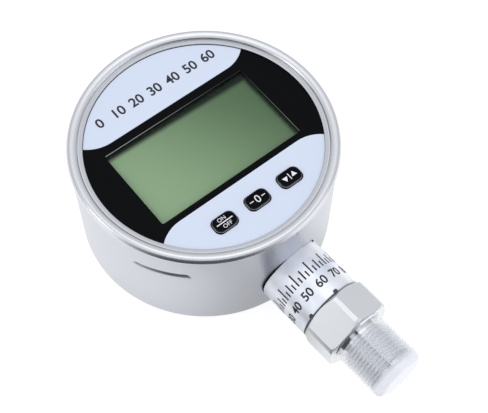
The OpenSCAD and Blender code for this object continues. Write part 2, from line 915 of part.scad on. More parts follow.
// The ridge of the thread: rings of four points along a right-hand helix
ridge_steps = 30;
ridge_sink = 0.1;
ridge_runout = 0.3;
ridge_turns = (thread_l - tip_chamfer) / thread_pitch - 1;
ridge_rings = floor(ridge_turns * ridge_steps);
function ridge_grow(turn) = max(0, min(1, turn / ridge_runout, (ridge_turns - turn) / ridge_runout));
function ridge_point(turn, r, shift) = [r * cos(360 * turn), r * sin(360 * turn),
    thread_s + thread_pitch * (turn + 0.5) + shift];
function ridge_ring(i) =
    let (turn = i / ridge_steps,
        crest_r = core_r + (thread_r - core_r) * ridge_grow(turn) + (ridge_grow(turn) - 1) * ridge_sink / 2,
        crest = crest_share * thread_pitch / 2,
        slant = (crest_r - core_r + ridge_sink) * tan(30))
    [ridge_point(turn, core_r - ridge_sink, -crest - slant), ridge_point(turn, crest_r, -crest),
        ridge_point(turn, crest_r, crest), ridge_point(turn, core_r - ridge_sink, crest + slant)];

module thread_ridge() {
    points = [for (i = [0 : ridge_rings]) each ridge_ring(i)];
    sides = [for (i = [0 : ridge_rings - 1], k = [0 : 3])
        let (a = 4 * i + k, b = 4 * i + (k + 1) % 4) each [[a, b, a + 4], [b, b + 4, a + 4]]];
    last = 4 * ridge_rings;
    ends = [[0, 2, 1], [0, 3, 2], [last, last + 1, last + 2], [last, last + 2, last + 3]];
    polyhedron(points = points, faces = concat(sides, ends));
}

module pressure_port() {
    color([0.84, 0.85, 0.86]) along_stem() difference() {
        union() {
            intersection() {
                translate([0, 0, hex_s]) rotate([0, 0, 90 + hex_turn])
                    cylinder(r = hex_corner_r, h = hex_l, $fn = 6);
                hex_limit();
            }
            disc(port_rear_r, port_rear, hex_s + hex_rear_chamfer - port_rear);
            disc(neck_r, hex_end - overrun, neck_l + 2 * overrun);
            disc(core_r, thread_s, thread_l - tip_chamfer);
            translate([0, 0, thread_end - tip_chamfer])
                cylinder(r1 = core_r, r2 = core_r - tip_chamfer, h = tip_chamfer);
            disc(spigot_d / 2, thread_end - overrun, spigot_l + overrun);
            thread_ridge();
        }
        disc(cavity_r, port_rear - overrun, cavity_floor - port_rear + overrun);
        disc(inlet_d / 2, cavity_floor - overrun, port_tip - cavity_floor + 2 * overrun);
    }
}

module thread_cap() {
    color([0.9, 0.92, 0.96, 0.6]) along_stem() difference() {
        cap_can(cap_r, cap_end, cap_round);
        cap_can(cap_in_r, cap_in_end, cap_round - cap_t);
        disc(cap_r + overrun, 0, cap_mouth);
    }
}

// A filled can from the case axis out to the given end, rounded at that end
module cap_can(r, end, edge) {
    translate([0, 0, end]) mirror([0, 0, 1]) rounded_can(r, end, edge);
}

// A lead swept along a route as one tube of eight sides
lead_sides = 8;
function unit(v) = v / norm(v);
function way(p, i) = unit(p[min(i + 1, len(p) - 1)] - p[max(i - 1, 0)]);
function lead_ring(p, i, r) = let (t = way(p, i), u = unit(cross([1, 0, 0], t)), w = cross(t, u))
    [for (k = [0 : lead_sides - 1]) let (a = 360 * k / lead_sides) p[i] + r * (cos(a) * u + sin(a) * w)];
function bend(a, b, c, d, steps) = [for (i = [0 : steps]) let (t = i / steps, q = 1 - t)
    q * q * q * a + 3 * q * q * t * b + 3 * q * t * t * c + t * t * t * d];

module lead(route, r) {
    last = len(route) - 1;
    points = [for (i = [0 : last]) each lead_ring(route, i, r)];
    sides = [for (i = [0 : last - 1], k = [0 : lead_sides - 1])
        let (a = lead_sides * i + k, b = lead_sides * i + (k + 1) % lead_sides)
        each [[a, a + lead_sides, b], [b, a + lead_sides, b + lead_sides]]];
    ends = [[for (k = [0 : lead_sides - 1]) k],
        [for (k = [lead_sides - 1 : -1 : 0]) lead_sides * last + k]];
    polyhedron(points = points, faces = concat(sides, ends));
}

module sensor_leads() {
    r = sensor_lead_d / 2;
    top_y = sensor_socket_share * board_r;
    top_z = board_z - socket_h;
    start_y = -capsule_s - capsule_lip + fit_gap;
    rise = (top_z - stem_z) / 2;
    color([0.7, 0.15, 0.15]) for (i = [0 : sensor_lead_count - 1])
        let (x = (i - (sensor_lead_count - 1) / 2) * sensor_lead_space)
        lead(concat([[x, start_y, stem_z]],
            bend([x, -nut_end, stem_z], [x, top_y, stem_z], [x, top_y, stem_z + rise],
                [x, top_y, top_z], 12)), r);
}

module battery_leads() {
    r = battery_lead_d / 2;
    top = [battery_socket_x_share * board_r, battery_socket_y_share * board_r, board_z - socket_h];
    low = [holder_l / 2 - battery_lead_inset, holder_w / 2 - 2 * holder_wall, holder_top_z];
    rise = (top[2] - low[2]) / 2;
    color([0.15, 0.15, 0.16]) for (x = [-1, 1])
        let (dx = x * battery_lead_space / 2)
        lead(bend(low + [dx, 0, 0], low + [dx, 0, rise], top + [dx, 0, -rise], top + [dx, 0, 0], 12), r);
}

case_shell();
bezel_ring();
bezel_gasket();
inner_ring();
dial_plate();
upper_film();
lower_film();
window_pane();
display_frame();
display_glass();
light_guide();
contact_strips();
key_power();
key_zero();
key_unit();
plunger_power();
plunger_zero();
plunger_unit();
tact_switches();
main_board();
board_screws();
processor_chip();
amplifier_chips();
crystal();
capacitors();
lead_sockets();
battery_holder();
battery_cells();
battery_contacts();
battery_leads();
battery_pad();
battery_door();
door_gasket();
door_screws();
stem_sleeve();
stem_label();
stem_seal();
saddle_washer();
lock_nut();
sensor_leads();
sensor_capsule();
sensor_oring();
sensor_ring();
pressure_port();
thread_cap();
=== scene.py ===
# %% [markdown]
# # Dressing a digital pressure gauge
# The gauge lies on its back on a white table, its screw connection towards us. The
# construction is already settled: every solid comes in as a fixed frame, at its real size.
# What is left for Blender is what the eye meets: the rolled bezel, the brushed can, the
# printed dial, the foil label, the milky thread cap, and a finish for every other piece.

import json
import math

import bmesh
import bpy
from mathutils import Matrix, Vector

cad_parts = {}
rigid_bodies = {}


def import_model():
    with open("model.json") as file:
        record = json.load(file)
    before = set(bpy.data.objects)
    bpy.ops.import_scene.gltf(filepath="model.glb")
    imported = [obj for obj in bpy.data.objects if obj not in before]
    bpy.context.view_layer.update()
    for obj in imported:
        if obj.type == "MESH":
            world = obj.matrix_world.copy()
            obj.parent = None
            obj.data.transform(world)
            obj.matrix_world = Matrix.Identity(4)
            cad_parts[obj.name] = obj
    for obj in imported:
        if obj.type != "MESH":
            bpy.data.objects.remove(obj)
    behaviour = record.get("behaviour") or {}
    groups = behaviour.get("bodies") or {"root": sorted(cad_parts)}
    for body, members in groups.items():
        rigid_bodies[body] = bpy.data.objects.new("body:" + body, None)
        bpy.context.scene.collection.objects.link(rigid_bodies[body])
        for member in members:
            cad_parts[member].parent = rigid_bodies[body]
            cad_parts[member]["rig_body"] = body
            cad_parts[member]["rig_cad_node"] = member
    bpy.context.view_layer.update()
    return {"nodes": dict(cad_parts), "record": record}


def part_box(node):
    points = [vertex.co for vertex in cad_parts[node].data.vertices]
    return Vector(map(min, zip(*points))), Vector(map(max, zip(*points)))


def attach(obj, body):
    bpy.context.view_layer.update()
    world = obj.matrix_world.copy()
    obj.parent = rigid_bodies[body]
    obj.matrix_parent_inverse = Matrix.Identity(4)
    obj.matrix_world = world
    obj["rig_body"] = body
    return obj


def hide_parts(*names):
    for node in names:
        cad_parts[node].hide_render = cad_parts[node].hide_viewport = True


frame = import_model()
MM = 0.001

# %% [markdown]
# ## Sizes
# A new piece has to meet its neighbours, so its sizes are read from the frame, in
# millimetres. Only what the boxes can't tell, such as the width of a rim, is typed here.

# %% Read the sizes
def low(node):
    """The lowest corner of a node's box, in millimetres."""
    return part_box(node)[0] / MM


def high(node):
    """The highest corner of a node's box, in millimetres."""
    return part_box(node)[1] / MM


case_r = high("case_shell").x
mouth_z = high("case_shell").z
case_t = 1.2
back_round = 3
recess_r = 34
opening_r = 29
recess_z = 1.9

bezel_r = high("bezel_ring").x
bezel_z = high("bezel_ring").z
skirt_z = low("bezel_ring").z
lip_w = 5.4
lip_r = case_r - lip_w
lip_top_z = mouth_z + 0.7
lip_t = 0.75

film_z = high("upper_film").z
key_mid = (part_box("key_zero")[0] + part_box("key_zero")[1]) / 2 / MM
dial_turn = math.atan2(key_mid.x, -key_mid.y)
key_drop = key_mid.xy.length
key_pitch = 14.9
key_top_z = high("key_zero").z
key_low_z = low("key_zero").z

stem_z = (low("stem_sleeve").z + high("stem_sleeve").z) / 2
sleeve_end = -low("stem_sleeve").y
label_r = (high("stem_label").x - low("stem_label").x) / 2
cap_r = (high("thread_cap").x - low("thread_cap").x) / 2
cap_mouth = -high("thread_cap").y
cap_end = -low("thread_cap").y
print("dial turned", round(math.degrees(dial_turn), 2), "degrees, stem axis at z", round(stem_z, 2))

# %% [markdown]
# ## The camera
# The picture was taken from above and to the left of the stem. The camera's direction,
# distance and lens were worked out from the circle of the case and the axis of the stem,
# so the part's own sizes land where they belong in a frame of 488 by 413.

# %% Place the camera
FRAME_W = 488
camera_turn = math.radians(-42.939)
camera_rise = math.radians(60.954)
camera_roll = math.radians(1.43)
camera_away = 425.813
camera_aim = Vector((3.608, -18.648, 20))
focal_pixels = 1102.43

back = Vector((math.sin(camera_turn) * math.cos(camera_rise),
               -math.cos(camera_turn) * math.cos(camera_rise), math.sin(camera_rise)))
level = Vector((0, 0, 1)).cross(back).normalized()
steep = back.cross(level)
right = math.cos(camera_roll) * level + math.sin(camera_roll) * steep
up = math.cos(camera_roll) * steep - math.sin(camera_roll) * level
camera_data = bpy.data.cameras.new("camera")
camera_data.lens = focal_pixels / FRAME_W * camera_data.sensor_width
camera_data.clip_end = 50
camera = bpy.data.objects.new("camera", camera_data)
bpy.context.scene.collection.objects.link(camera)
camera.matrix_world = Matrix.Translation((camera_aim + back * camera_away) * MM) @ Matrix(
    (right, up, back)).transposed().to_4x4()
bpy.context.scene.camera = camera
print("lens of", round(camera_data.lens, 1), "mm")

# %% [markdown]
# ## Colours and nodes
# Colours are picked as hex values, which are sRGB, while a shader works in linear
# light. One function turns the first into the second. The others each add a node, in the
# tree that their inputs come from, so that a pattern reads like a sum.

# %% Colour and node helpers
def linear(colour):
    """An sRGB hex colour as the linear colour that a shader wants."""
    parts = [int(colour[i:i + 2], 16) / 255 for i in (1, 3, 5)]
    return (*[p / 12.92 if p <= 0.04045 else ((p + 0.055) / 1.055) ** 2.4 for p in parts], 1)


def add(kind, inputs, **settings):
    """Add a node where its inputs come from, and feed it with values and other nodes' sockets."""
    sockets = {key: value for key, value in inputs.items() if isinstance(value, bpy.types.NodeSocket)}
    tree = next(iter(sockets.values())).id_data
    node = tree.nodes.new("ShaderNode" + kind)
    for key, value in settings.items():
        setattr(node, key, value)
    for key, value in inputs.items():
        if key in sockets:
            tree.links.new(value, node.inputs[key])
        else:
            node.inputs[key].default_value = value
    return node


def calc(operation, first, second=0):
    """One step of arithmetic on values or sockets."""
    return add("Math", {0: first, 1: second}, operation=operation).outputs[0]


def blend(share, first, second):
    """A mix of two colours, by a share from 0 to 1."""
    mix = add("Mix", {"Factor": share, "A": first, "B": second}, data_type="RGBA")
    return mix.outputs["Result"]


def here(material, kind="Object"):
    """Where a point lies on its object, in metres, or other coordinates of it."""
    return material.node_tree.nodes.new("ShaderNodeTexCoord").outputs[kind]


def axes(place):
    """The X, Y and Z of a place, apart."""
    return add("SeparateXYZ", {0: place}).outputs


def dot(place, direction):
    """How far a place lies along a direction."""
    return add("VectorMath", {0: place, 1: direction}, operation="DOT_PRODUCT").outputs["Value"]


def off_axis(place, across):
    """How far a place lies from an axis, given as 1 across the axis and 0 along it."""
    flat = add("VectorMath", {0: place, 1: across}, operation="MULTIPLY").outputs[0]
    return add("VectorMath", {0: flat}, operation="LENGTH").outputs["Value"]


def new_finish(name, colour, values=None):
    """A new material whose shader has one colour and the given values."""
    material = bpy.data.materials.new(name)
    material.use_nodes = True
    shader = material.node_tree.nodes["Principled BSDF"]
    shader.inputs["Base Color"].default_value = linear(colour)
    for key, value in (values or {}).items():
        shader.inputs[key].default_value = value
    return material


def drive(socket, source):
    """Let a pattern drive one socket of its own material's shader."""
    tree = source.id_data
    tree.links.new(source, tree.nodes["Principled BSDF"].inputs[socket])


print("helpers are ready")

# %% [markdown]
# ## Patterns
# Nearly all surfaces here carry one of two marks. A moulded or matt piece has a fine,
# even grain. A turned piece has rings about its axis, which is a noise that reads only
# the distance from the axis and the place along it. Both come from Object coordinates,
# so they stay in place however the part is looked at.

# %% Grain and turned rings
def grain(material, size, detail=2):
    """Noise whose spots have the given size in millimetres."""
    return add("TexNoise", {"Vector": here(material), "Scale": 1 / (size * MM), "Detail": detail})


def rings(material, spacing, about_stem=False):
    """Noise in rings about the case's axis or the stem's, with the given spacing."""
    axis = (0, 1, 0) if about_stem else (0, 0, 1)
    shift = (0, 0, -stem_z * MM if about_stem else 0)
    centred = add("VectorMath", {0: here(material), 1: shift}, operation="ADD").outputs[0]
    radius = off_axis(centred, tuple(1 - a for a in axis))
    pair = add("CombineXYZ", {"X": radius, "Y": dot(centred, axis)}).outputs[0]
    return add("TexNoise", {"Vector": pair, "Scale": 1 / (spacing * MM), "Detail": 1})


def remap(value, start, end, first, last, **settings):
    """A value between start and end, mapped to one between first and last."""
    return add("MapRange", {"Value": value, "From Min": start, "From Max": end,
                            "To Min": first, "To Max": last}, **settings).outputs[0]


def spread(pattern, lowest, highest):
    """A pattern's value, spread from the lowest to the highest value."""
    return remap(pattern.outputs[0], 0.25, 0.75, lowest, highest)


def ramp(value, start, end, first, last, unit=MM):
    """A smooth step from first to last, between two places in millimetres or another unit."""
    return remap(value, start * unit, end * unit, first, last, interpolation_type="SMOOTHSTEP")


def raise_by(pattern, depth):
    """Let a pattern raise the surface, by a depth in millimetres."""
    bump = add("Bump", {"Height": pattern.outputs[0], "Distance": depth * MM, "Strength": 1})
    drive("Normal", bump.outputs[0])


def grained(name, colour, size, depth, values):
    """A finish with a fine grain in its surface."""
    material = new_finish(name, colour, values)
    raise_by(grain(material, size), depth)
    return material


def vary_gloss(pattern, roughness, share):
    """Let a pattern vary the roughness by a share up and down."""
    drive("Roughness", spread(pattern, roughness * (1 - share), min(1, roughness * (1 + share))))


print("patterns are ready")

# %% [markdown]
# ## Steels
# The can and the bezel are stainless steel sheet, spun to shape and then turned with a
# fine abrasive, which leaves rings too fine to see singly: they blur the reflection of
# the white table to an even grey. The rings are drawn about half a millimetre apart, far
# coarser than the real ones, because finer ones would vanish between two pixels.

# %% Steel finishes
def turned_steel(name, colour, roughness, spacing, depth, about_stem=False):
    """Stainless steel with turning rings that vary its gloss and its surface."""
    material = new_finish(name, colour, {"Metallic": 1})
    marks = rings(material, spacing, about_stem)
    vary_gloss(marks, roughness, 0.2)
    raise_by(marks, depth)
    return material


def bezel_steel():
    """Steel with crisp reflections on the roll, and a greyer base colour on the flat lip that is painted
    shade for its dimmer reflection.
    """
    material = turned_steel("spun_bezel_steel", "#D6D7D9", 0.27, 0.5, 0.0006)
    radius = off_axis(here(material), (1, 1, 0))
    # The flat lip's greyer base colour is painted shade
    unshaded_roll_share = ramp(radius, case_r - 4.2, case_r - 3.5, 0, 1)
    drive("Base Color", blend(unshaded_roll_share, linear("#BEC0C2"), linear("#D8D9DB")))
    return material


# Satin sheet: gives the wall its soft, even grey
satin_sheet_steel = turned_steel("satin_sheet_steel", "#CDCFD6", 0.34, 0.5, 0.0008)
# The spun bezel is brighter and takes narrow, crisp reflections along its bead
spun_bezel_steel = bezel_steel()
# The door is stamped from the same sheet and turned on its face, a little coarser
stamped_door_steel = turned_steel("stamped_door_steel", "#CFD0D2", 0.32, 0.6, 0.001)
# The stem's sleeve is turned bar, whose rings run round the stem
turned_bar_steel = turned_steel("turned_bar_steel", "#CDCED0", 0.28, 0.4, 0.001, True)
# Nickel over a fine drawn surface gives the small screws their warm shine
nickel_plated_screw = grained("nickel_plated_screw", "#C4C2BC", 0.3, 0.002,
                              {"Metallic": 1, "Roughness": 0.25})
print("steels:", satin_sheet_steel.name, spun_bezel_steel.name, turned_bar_steel.name)

# %% [markdown]
# ## Pressure port steel
# The port is turned from hexagonal bar. Its flats keep the drawn bar's dull skin, while
# the neck and the thread come bright from the lathe.

# %% Port finish
def port_steel():
    """Bar steel that is matt on the flats and bright on the turned neck and thread."""
    material = new_finish("drawn_and_turned_steel", "#E0E2E3", {"Metallic": 1})
    flats_end = sleeve_end + 13.9
    on_flats = calc("GREATER_THAN", axes(here(material))["Y"], -flats_end * MM)
    skin = grain(material, 0.6, 3)
    matt = spread(skin, 0.3, 0.42)
    drive("Roughness", add("Mix", {"Factor": on_flats, "A": 0.14, "B": matt}).outputs[0])
    # The scaly skin scatters light as well as mirroring it
    drive("Metallic", add("Mix", {"Factor": on_flats, "A": 1, "B": 0.68}).outputs[0])
    raise_by(skin, 0.0012)
    return material


drawn_and_turned_steel = port_steel()
print("port steel:", drawn_and_turned_steel.name)

# %% [markdown]
# ## Modelling helpers
# An operator works on all that is selected, so each step starts by deselecting all.
# Faces and edges are then picked in code, by where they lie or which way they face.

# %% Selection and placing
def clear():
    """Deselect every object."""
    bpy.ops.object.select_all(action="DESELECT")


def only(piece):
    """Select one object and make it the active one."""
    clear()
    piece.select_set(True)
    bpy.context.view_layer.objects.active = piece


def edit(piece, action="DESELECT"):
    """Go into edit mode on one object, with all of it deselected or selected."""
    only(piece)
    bpy.ops.object.mode_set(mode="EDIT")
    bpy.ops.mesh.select_all(action=action)


def done():
    """Leave edit mode."""
    bpy.ops.object.mode_set(mode="OBJECT")


def pick(kind, test):
    """In edit mode, select the vertices, edges or faces that pass a test."""
    bpy.ops.mesh.select_mode(type=kind)
    bpy.ops.mesh.select_all(action="DESELECT")
    mesh = bmesh.from_edit_mesh(bpy.context.object.data)
    parts = {"VERT": mesh.verts, "EDGE": mesh.edges, "FACE": mesh.faces}[kind]
    found = [part for part in parts if test(part)]
    for part in found:
        part.select_set(True)
    mesh.select_flush_mode()
    bmesh.update_edit_mesh(bpy.context.object.data)
    return len(found)


def named(name):
    """Name the new active object and its mesh."""
    piece = bpy.context.active_object
    piece.name = piece.data.name = name
    return piece


def smooth(piece, angle=30):
    """Shade smooth, but keep edges sharper than the angle crisp."""
    only(piece)
    bpy.ops.object.shade_smooth_by_angle(angle=math.radians(angle))


def settle(piece):
    """Write an object's place and turn into its mesh, so that it sits at the origin."""
    only(piece)
    bpy.ops.object.transform_apply(location=True, rotation=True, scale=True)


def lay_on_stem(piece):
    """Turn a piece made about the upright axis so that it lies along the stem."""
    piece.rotation_euler = (math.radians(90), 0, 0)
    piece.location = (0, 0, stem_z * MM)
    settle(piece)


def lay_on_dial(piece):
    """Turn a piece made square to the world with the dial."""
    piece.rotation_euler = (0, 0, dial_turn)
    settle(piece)


def join(name, pieces):
    """Join pieces into one."""
    only(pieces[0])
    for piece in pieces[1:]:
        piece.select_set(True)
    bpy.ops.object.join()
    return named(name)


def merge_close(reach=0.001):
    """In edit mode, merge all vertices closer than a reach in millimetres."""
    bpy.ops.mesh.select_all(action="SELECT")
    bpy.ops.mesh.remove_doubles(threshold=reach * MM)
    bpy.ops.mesh.select_all(action="SELECT")


def block(name, size, place, turn=0):
    """A block of a size at a place, turned by some degrees about the stem's direction."""
    clear()
    bpy.ops.mesh.primitive_cube_add(size=1, location=Vector(place) * MM, scale=Vector(size) * MM,
                                    rotation=(0, math.radians(turn), 0))
    piece = named(name)
    settle(piece)
    return piece


def rod(name, sides, radius, length, place=(0, 0, 0), rotation=(0, 0, 0)):
    """A cylinder or prism, upright before its rotation, with its sizes and place in millimetres."""
    clear()
    bpy.ops.mesh.primitive_cylinder_add(vertices=sides, radius=radius * MM, depth=length * MM,
                                        location=Vector(place) * MM, rotation=rotation)
    return named(name)


def soften(piece, width, segments):
    """Bevel all edges of a piece."""
    edit(piece, "SELECT")
    bpy.ops.mesh.bevel(offset=width * MM, segments=segments)
    done()
    return piece


def cut_away(piece, cutter, operation="DIFFERENCE"):
    """Take a cutter out of a piece, or keep what lies within it, and remove the cutter."""
    cut = piece.modifiers.new("cut", "BOOLEAN")
    cut.operation = operation
    cut.object = cutter
    cut.solver = "EXACT"
    only(piece)
    bpy.ops.object.modifier_apply(modifier="cut")
    bpy.data.objects.remove(cutter)


def wear(piece, material, stands_for=None, body="gauge"):
    """Give a piece its material, the node that it stands for and its body."""
    piece.data.materials.clear()
    piece.data.materials.append(material)
    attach(piece, body)
    if stands_for:
        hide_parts(stands_for)
    print(piece.name, "has", len(piece.data.polygons), "faces")


print("modelling helpers are ready")

# %% [markdown]
# ## Turning a piece on the lathe
# Round pieces are made as a turner makes them: an outline, swept round an axis. The
# outline starts as a small plane merged to one vertex, which is extruded from point to
# point. Spin then sweeps it. The seam and any pole are merged, and only then are the
# normals turned outwards.

# %% The lathe
def arc(middle, reach, start, end, steps):
    """Points on an arc or oval about a middle, with angles in degrees."""
    angles = [math.radians(start + (end - start) * i / steps) for i in range(steps + 1)]
    return [(middle[0] + reach[0] * math.cos(a), middle[1] + reach[1] * math.sin(a)) for a in angles]


def lathe(name, outline, sides, closed=False):
    """Sweep an outline of (radius, height) points round the upright axis."""
    points = [Vector((r, 0, z)) * MM for r, z in outline]
    if closed:
        points.append(points[0])
    clear()
    bpy.ops.mesh.primitive_plane_add(size=MM, location=(0, 0, 0))
    piece = named(name)
    bpy.ops.object.mode_set(mode="EDIT")
    bpy.ops.mesh.select_mode(type="VERT")
    bpy.ops.mesh.merge(type="CENTER")
    bpy.ops.transform.translate(value=points[0])
    for start, end in zip(points, points[1:]):
        bpy.ops.mesh.extrude_vertices_move(TRANSFORM_OT_translate={"value": end - start})
    merge_close()
    bpy.ops.mesh.spin(steps=sides, angle=math.tau, center=(0, 0, 0), axis=(0, 0, 1))
    merge_close()
    bpy.ops.mesh.normals_make_consistent(inside=False)
    done()
    print(name, "was turned with", len(outline), "points")
    return piece


print("the lathe is ready")

# %% [markdown]
# ## The can
# The real can is one sheet, drawn into a cup with a rounded back, a stepped opening for
# the battery door and three pressed slits. So it is modelled as one skin, whose faces in
# the slits are deleted, and a Solidify modifier gives it the sheet's thickness inwards.

# %% Turn the can's skin
CASE_SIDES = 256
slit_low_z, slit_top_z, lug_top_z = 36.3, 37.2, 38.2
slit_angle = 24
slit_turns = [-148.5 + 120 * i for i in range(3)]

dish_rings = [(slit_low_z, 0.9), (slit_low_z - 0.5, 0.62), (slit_low_z - 1, 0.3), (slit_low_z - 1.5, 0.08)]
# The outermost two of these rings stay put, so the wall beyond them shades as a true cylinder
can_outline = [(case_r, z) for z in (mouth_z, lug_top_z + 3, lug_top_z, slit_top_z)]
can_outline += [(case_r, z) for z, dish in dish_rings]
can_outline += [(case_r, slit_low_z - 2), (case_r, slit_low_z - 4)]
can_outline += arc((case_r - back_round, back_round), (back_round, back_round), 0, -90, 8)
can_outline += [(recess_r, 0), (recess_r, recess_z), (opening_r, recess_z)]
case_can = lathe("case_can", can_outline, CASE_SIDES)


# %% Cut the slits and give the sheet its thickness
def along_slit(place):
    """How far along its slit a place lies, in degrees from the slit's middle."""
    turn = math.degrees(math.atan2(place.y, place.x))
    return min(((turn - middle + 180) % 360 - 180 for middle in slit_turns), key=abs)


def in_a_slit(place):
    """Whether a place lies in the sector of one of the slits."""
    return abs(along_slit(place)) < slit_angle / 2


def press_in(depth, radius):
    """In edit mode, press the selection at a radius towards the case's axis."""
    shrink = 1 - depth / radius
    bpy.ops.transform.resize(value=(shrink, shrink, 1), center_override=(0, 0, 0))


def cut_face(face):
    place = face.calc_center_median() / MM
    return slit_low_z < place.z < slit_top_z and in_a_slit(place)


edit(case_can)
print("slit faces:", pick("FACE", cut_face))
bpy.ops.mesh.delete(type="FACE")
for ring_z, dish in dish_rings:
    pick("VERT", lambda vert: abs(vert.co.z / MM - ring_z) < 0.01 and in_a_slit(vert.co))
    press_in(dish, case_r)

# The slits climb a little to the right, so each column of the skin is lifted in turn
slit_climb, half_columns, column = 1.4, 8, 360 / CASE_SIDES
for step in range(-half_columns, half_columns + 1):
    found = pick("VERT", lambda vert: slit_low_z - 2.1 < vert.co.z / MM < lug_top_z + 0.1
                 and in_a_slit(vert.co) and abs(along_slit(vert.co) - step * column) < column / 2)
    if found:
        lift = slit_climb * (step + half_columns) / (2 * half_columns)
        bpy.ops.transform.translate(value=(0, 0, lift * MM))
done()
sheet = case_can.modifiers.new("sheet", "SOLIDIFY")
sheet.thickness = case_t * MM
sheet.offset = -1
only(case_can)
bpy.ops.object.modifier_apply(modifier="sheet")


# %% Press the lugs inwards above the slits
lug_depth = 1.9


def lug_face(face):
    place = face.calc_center_median() / MM
    inside = place.xy.length < case_r - case_t / 2
    upright = abs(face.normal.z) < 0.1
    lift = slit_climb * (along_slit(place) / slit_angle + 0.5)
    return inside and upright and slit_top_z < place.z - lift < lug_top_z and in_a_slit(place)


edit(case_can)
print("lug faces:", pick("FACE", lug_face))
bpy.ops.mesh.extrude_region_move()
press_in(lug_depth, case_r - case_t)
done()

# %% Drill the wall for the stem
tail_r = 9.15
cut_away(case_can, rod("drill", 64, tail_r, 20, (0, -case_r, stem_z), (math.radians(90), 0, 0)))
smooth(case_can, 35)
wear(case_can, satin_sheet_steel, "case_shell")

# %% [markdown]
# ## The bezel
# The bezel is a spun ring: a flat lip over the dial's edge, then a flattened roll that
# stands over the mouth of the can. The roll's inner slope mirrors what stands beside the
# camera, and that is the dark ring on its far side. It is one closed outline, because
# the fillet between lip and roll has to be smooth for that ring to run clean.

# %% Spin the bezel
bead_out, bead_in = 1.82, 2.38
skirt_t = 1
bead_mid = (bezel_r - bead_out, lip_top_z + 0.2)
bead_reach = (bead_in, bezel_z - bead_mid[1])
skirt_r = case_r - case_t - 0.05
lip_round = 0.25
hem_z = mouth_z + 0.2
shoulder_reach = (bead_out, 2)
shoulder_mid = (bead_mid[0], bezel_z - shoulder_reach[1])
hem_r = 0.35

bezel_outline = [(skirt_r, skirt_z), (skirt_r - skirt_t, skirt_z), (skirt_r - skirt_t, lip_top_z - lip_t)]
bezel_outline += arc((lip_r + lip_round, lip_top_z - lip_t + lip_round), (lip_round, lip_round), 270, 180, 4)
bezel_outline += arc((lip_r + lip_round, lip_top_z - lip_round), (lip_round, lip_round), 180, 90, 4)
bezel_outline += arc(bead_mid, bead_reach, 187, 90, 26)
bezel_outline += arc(shoulder_mid, shoulder_reach, 90, 5, 22)[1:]
bezel_outline += arc((bezel_r - hem_r, hem_z), (hem_r, hem_r), 0, -120, 6)
bezel_outline += [(case_r + 0.02, mouth_z + 0.04), (skirt_r, mouth_z + 0.04)]
rolled_bezel = lathe("rolled_bezel", bezel_outline, CASE_SIDES, closed=True)
smooth(rolled_bezel, 40)
wear(rolled_bezel, spun_bezel_steel, "bezel_ring")

# %% [markdown]
# ## Smooth copies
# The sleeve, the port, the battery door and its screws have the right shape already, but
# their meshes are loose triangles, which shade as flat facets. A copy of each is merged
# into one skin and shaded smooth, and then stands for its node.

# %% Copy a node as one smooth skin
def smooth_copy(node, name):
    """A copy of a node, merged to one skin and shaded smooth."""
    only(frame["nodes"][node])
    bpy.ops.object.duplicate()
    piece = named(name)
    del piece["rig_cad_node"], piece["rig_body"]
    bpy.ops.object.parent_clear(type="CLEAR_KEEP_TRANSFORM")
    bpy.ops.mesh.customdata_custom_splitnormals_clear()
    edit(piece)
    merge_close()
    done()
    smooth(piece)
    return piece


for node, name, steel, slot in [("stem_sleeve", "steel_sleeve", turned_bar_steel, "stem_steel"),
                                ("battery_door", "back_door", stamped_door_steel, "door_steel"),
                                ("door_screws", "door_heads", nickel_plated_screw, "screw_steel")]:
    wear(smooth_copy(node, name), steel, node)

# %% [markdown]
# ## The hexagon
# The wrench hexagon is hexagonal bar whose corners were turned down and chamfered. So a
# chamfered round blank is turned first and then cut with a hexagonal block, which leaves
# the curved edges where the chamfers run out on the flats. A low washer face stands on its
# end. The copy of the port gives up its own hexagon and takes this one.

# %% Cut the hexagon from a turned blank
hex_s, hex_l, hex_af, hex_round_r, hex_turn = sleeve_end + 0.1, 14.1, 27, 15.1, 6.6
hex_end = hex_s + hex_l
neck_r = 8.88
washer_r, washer_t, hidden_r = 11.9, 0.35, neck_r - 0.2
blank = [(hidden_r, hex_s), (13.2, hex_s), (13.5, hex_s + 0.2), (hex_round_r, hex_s + 1.4),
         (hex_round_r, hex_end - 1.3), (14.9, hex_end - 0.75), (14.5, hex_end - 0.3), (13.8, hex_end),
         (washer_r, hex_end), (washer_r - 0.3, hex_end + washer_t), (hidden_r, hex_end + washer_t)]
hexagon = lathe("hexagon", blank, 180, closed=True)
bar = rod("bar", 6, hex_af / 2 / math.cos(math.radians(30)), 2 * hex_l, (0, 0, (hex_s + hex_end) / 2),
          (0, 0, math.radians(hex_turn)))
cut_away(hexagon, bar, "INTERSECT")
lay_on_stem(hexagon)
smooth(hexagon, 15)

# %% Fit it to the port
port_body = smooth_copy("pressure_port", "port_body")


def old_hexagon(face):
    place = face.calc_center_median() / MM
    radius = math.hypot(place.x, place.z - stem_z)
    return radius > 10.5 and -hex_end - 0.01 < place.y < -hex_s + 0.01 or (
        radius > neck_r + 0.02 and abs(place.y + hex_end) < 0.01)


edit(port_body)
print("old hexagon faces:", pick("FACE", old_hexagon))
bpy.ops.mesh.delete(type="FACE")
done()
port_body = join("port_body", [port_body, hexagon])
wear(port_body, drawn_and_turned_steel, "pressure_port")

# %% [markdown]
# ## The foil label
# The sleeve wears a wrap of thin metallised foil. Foil never lies quite flat, so its
# sheen wanders: the material lets a slow noise tip the surface and tint it a cool blue.

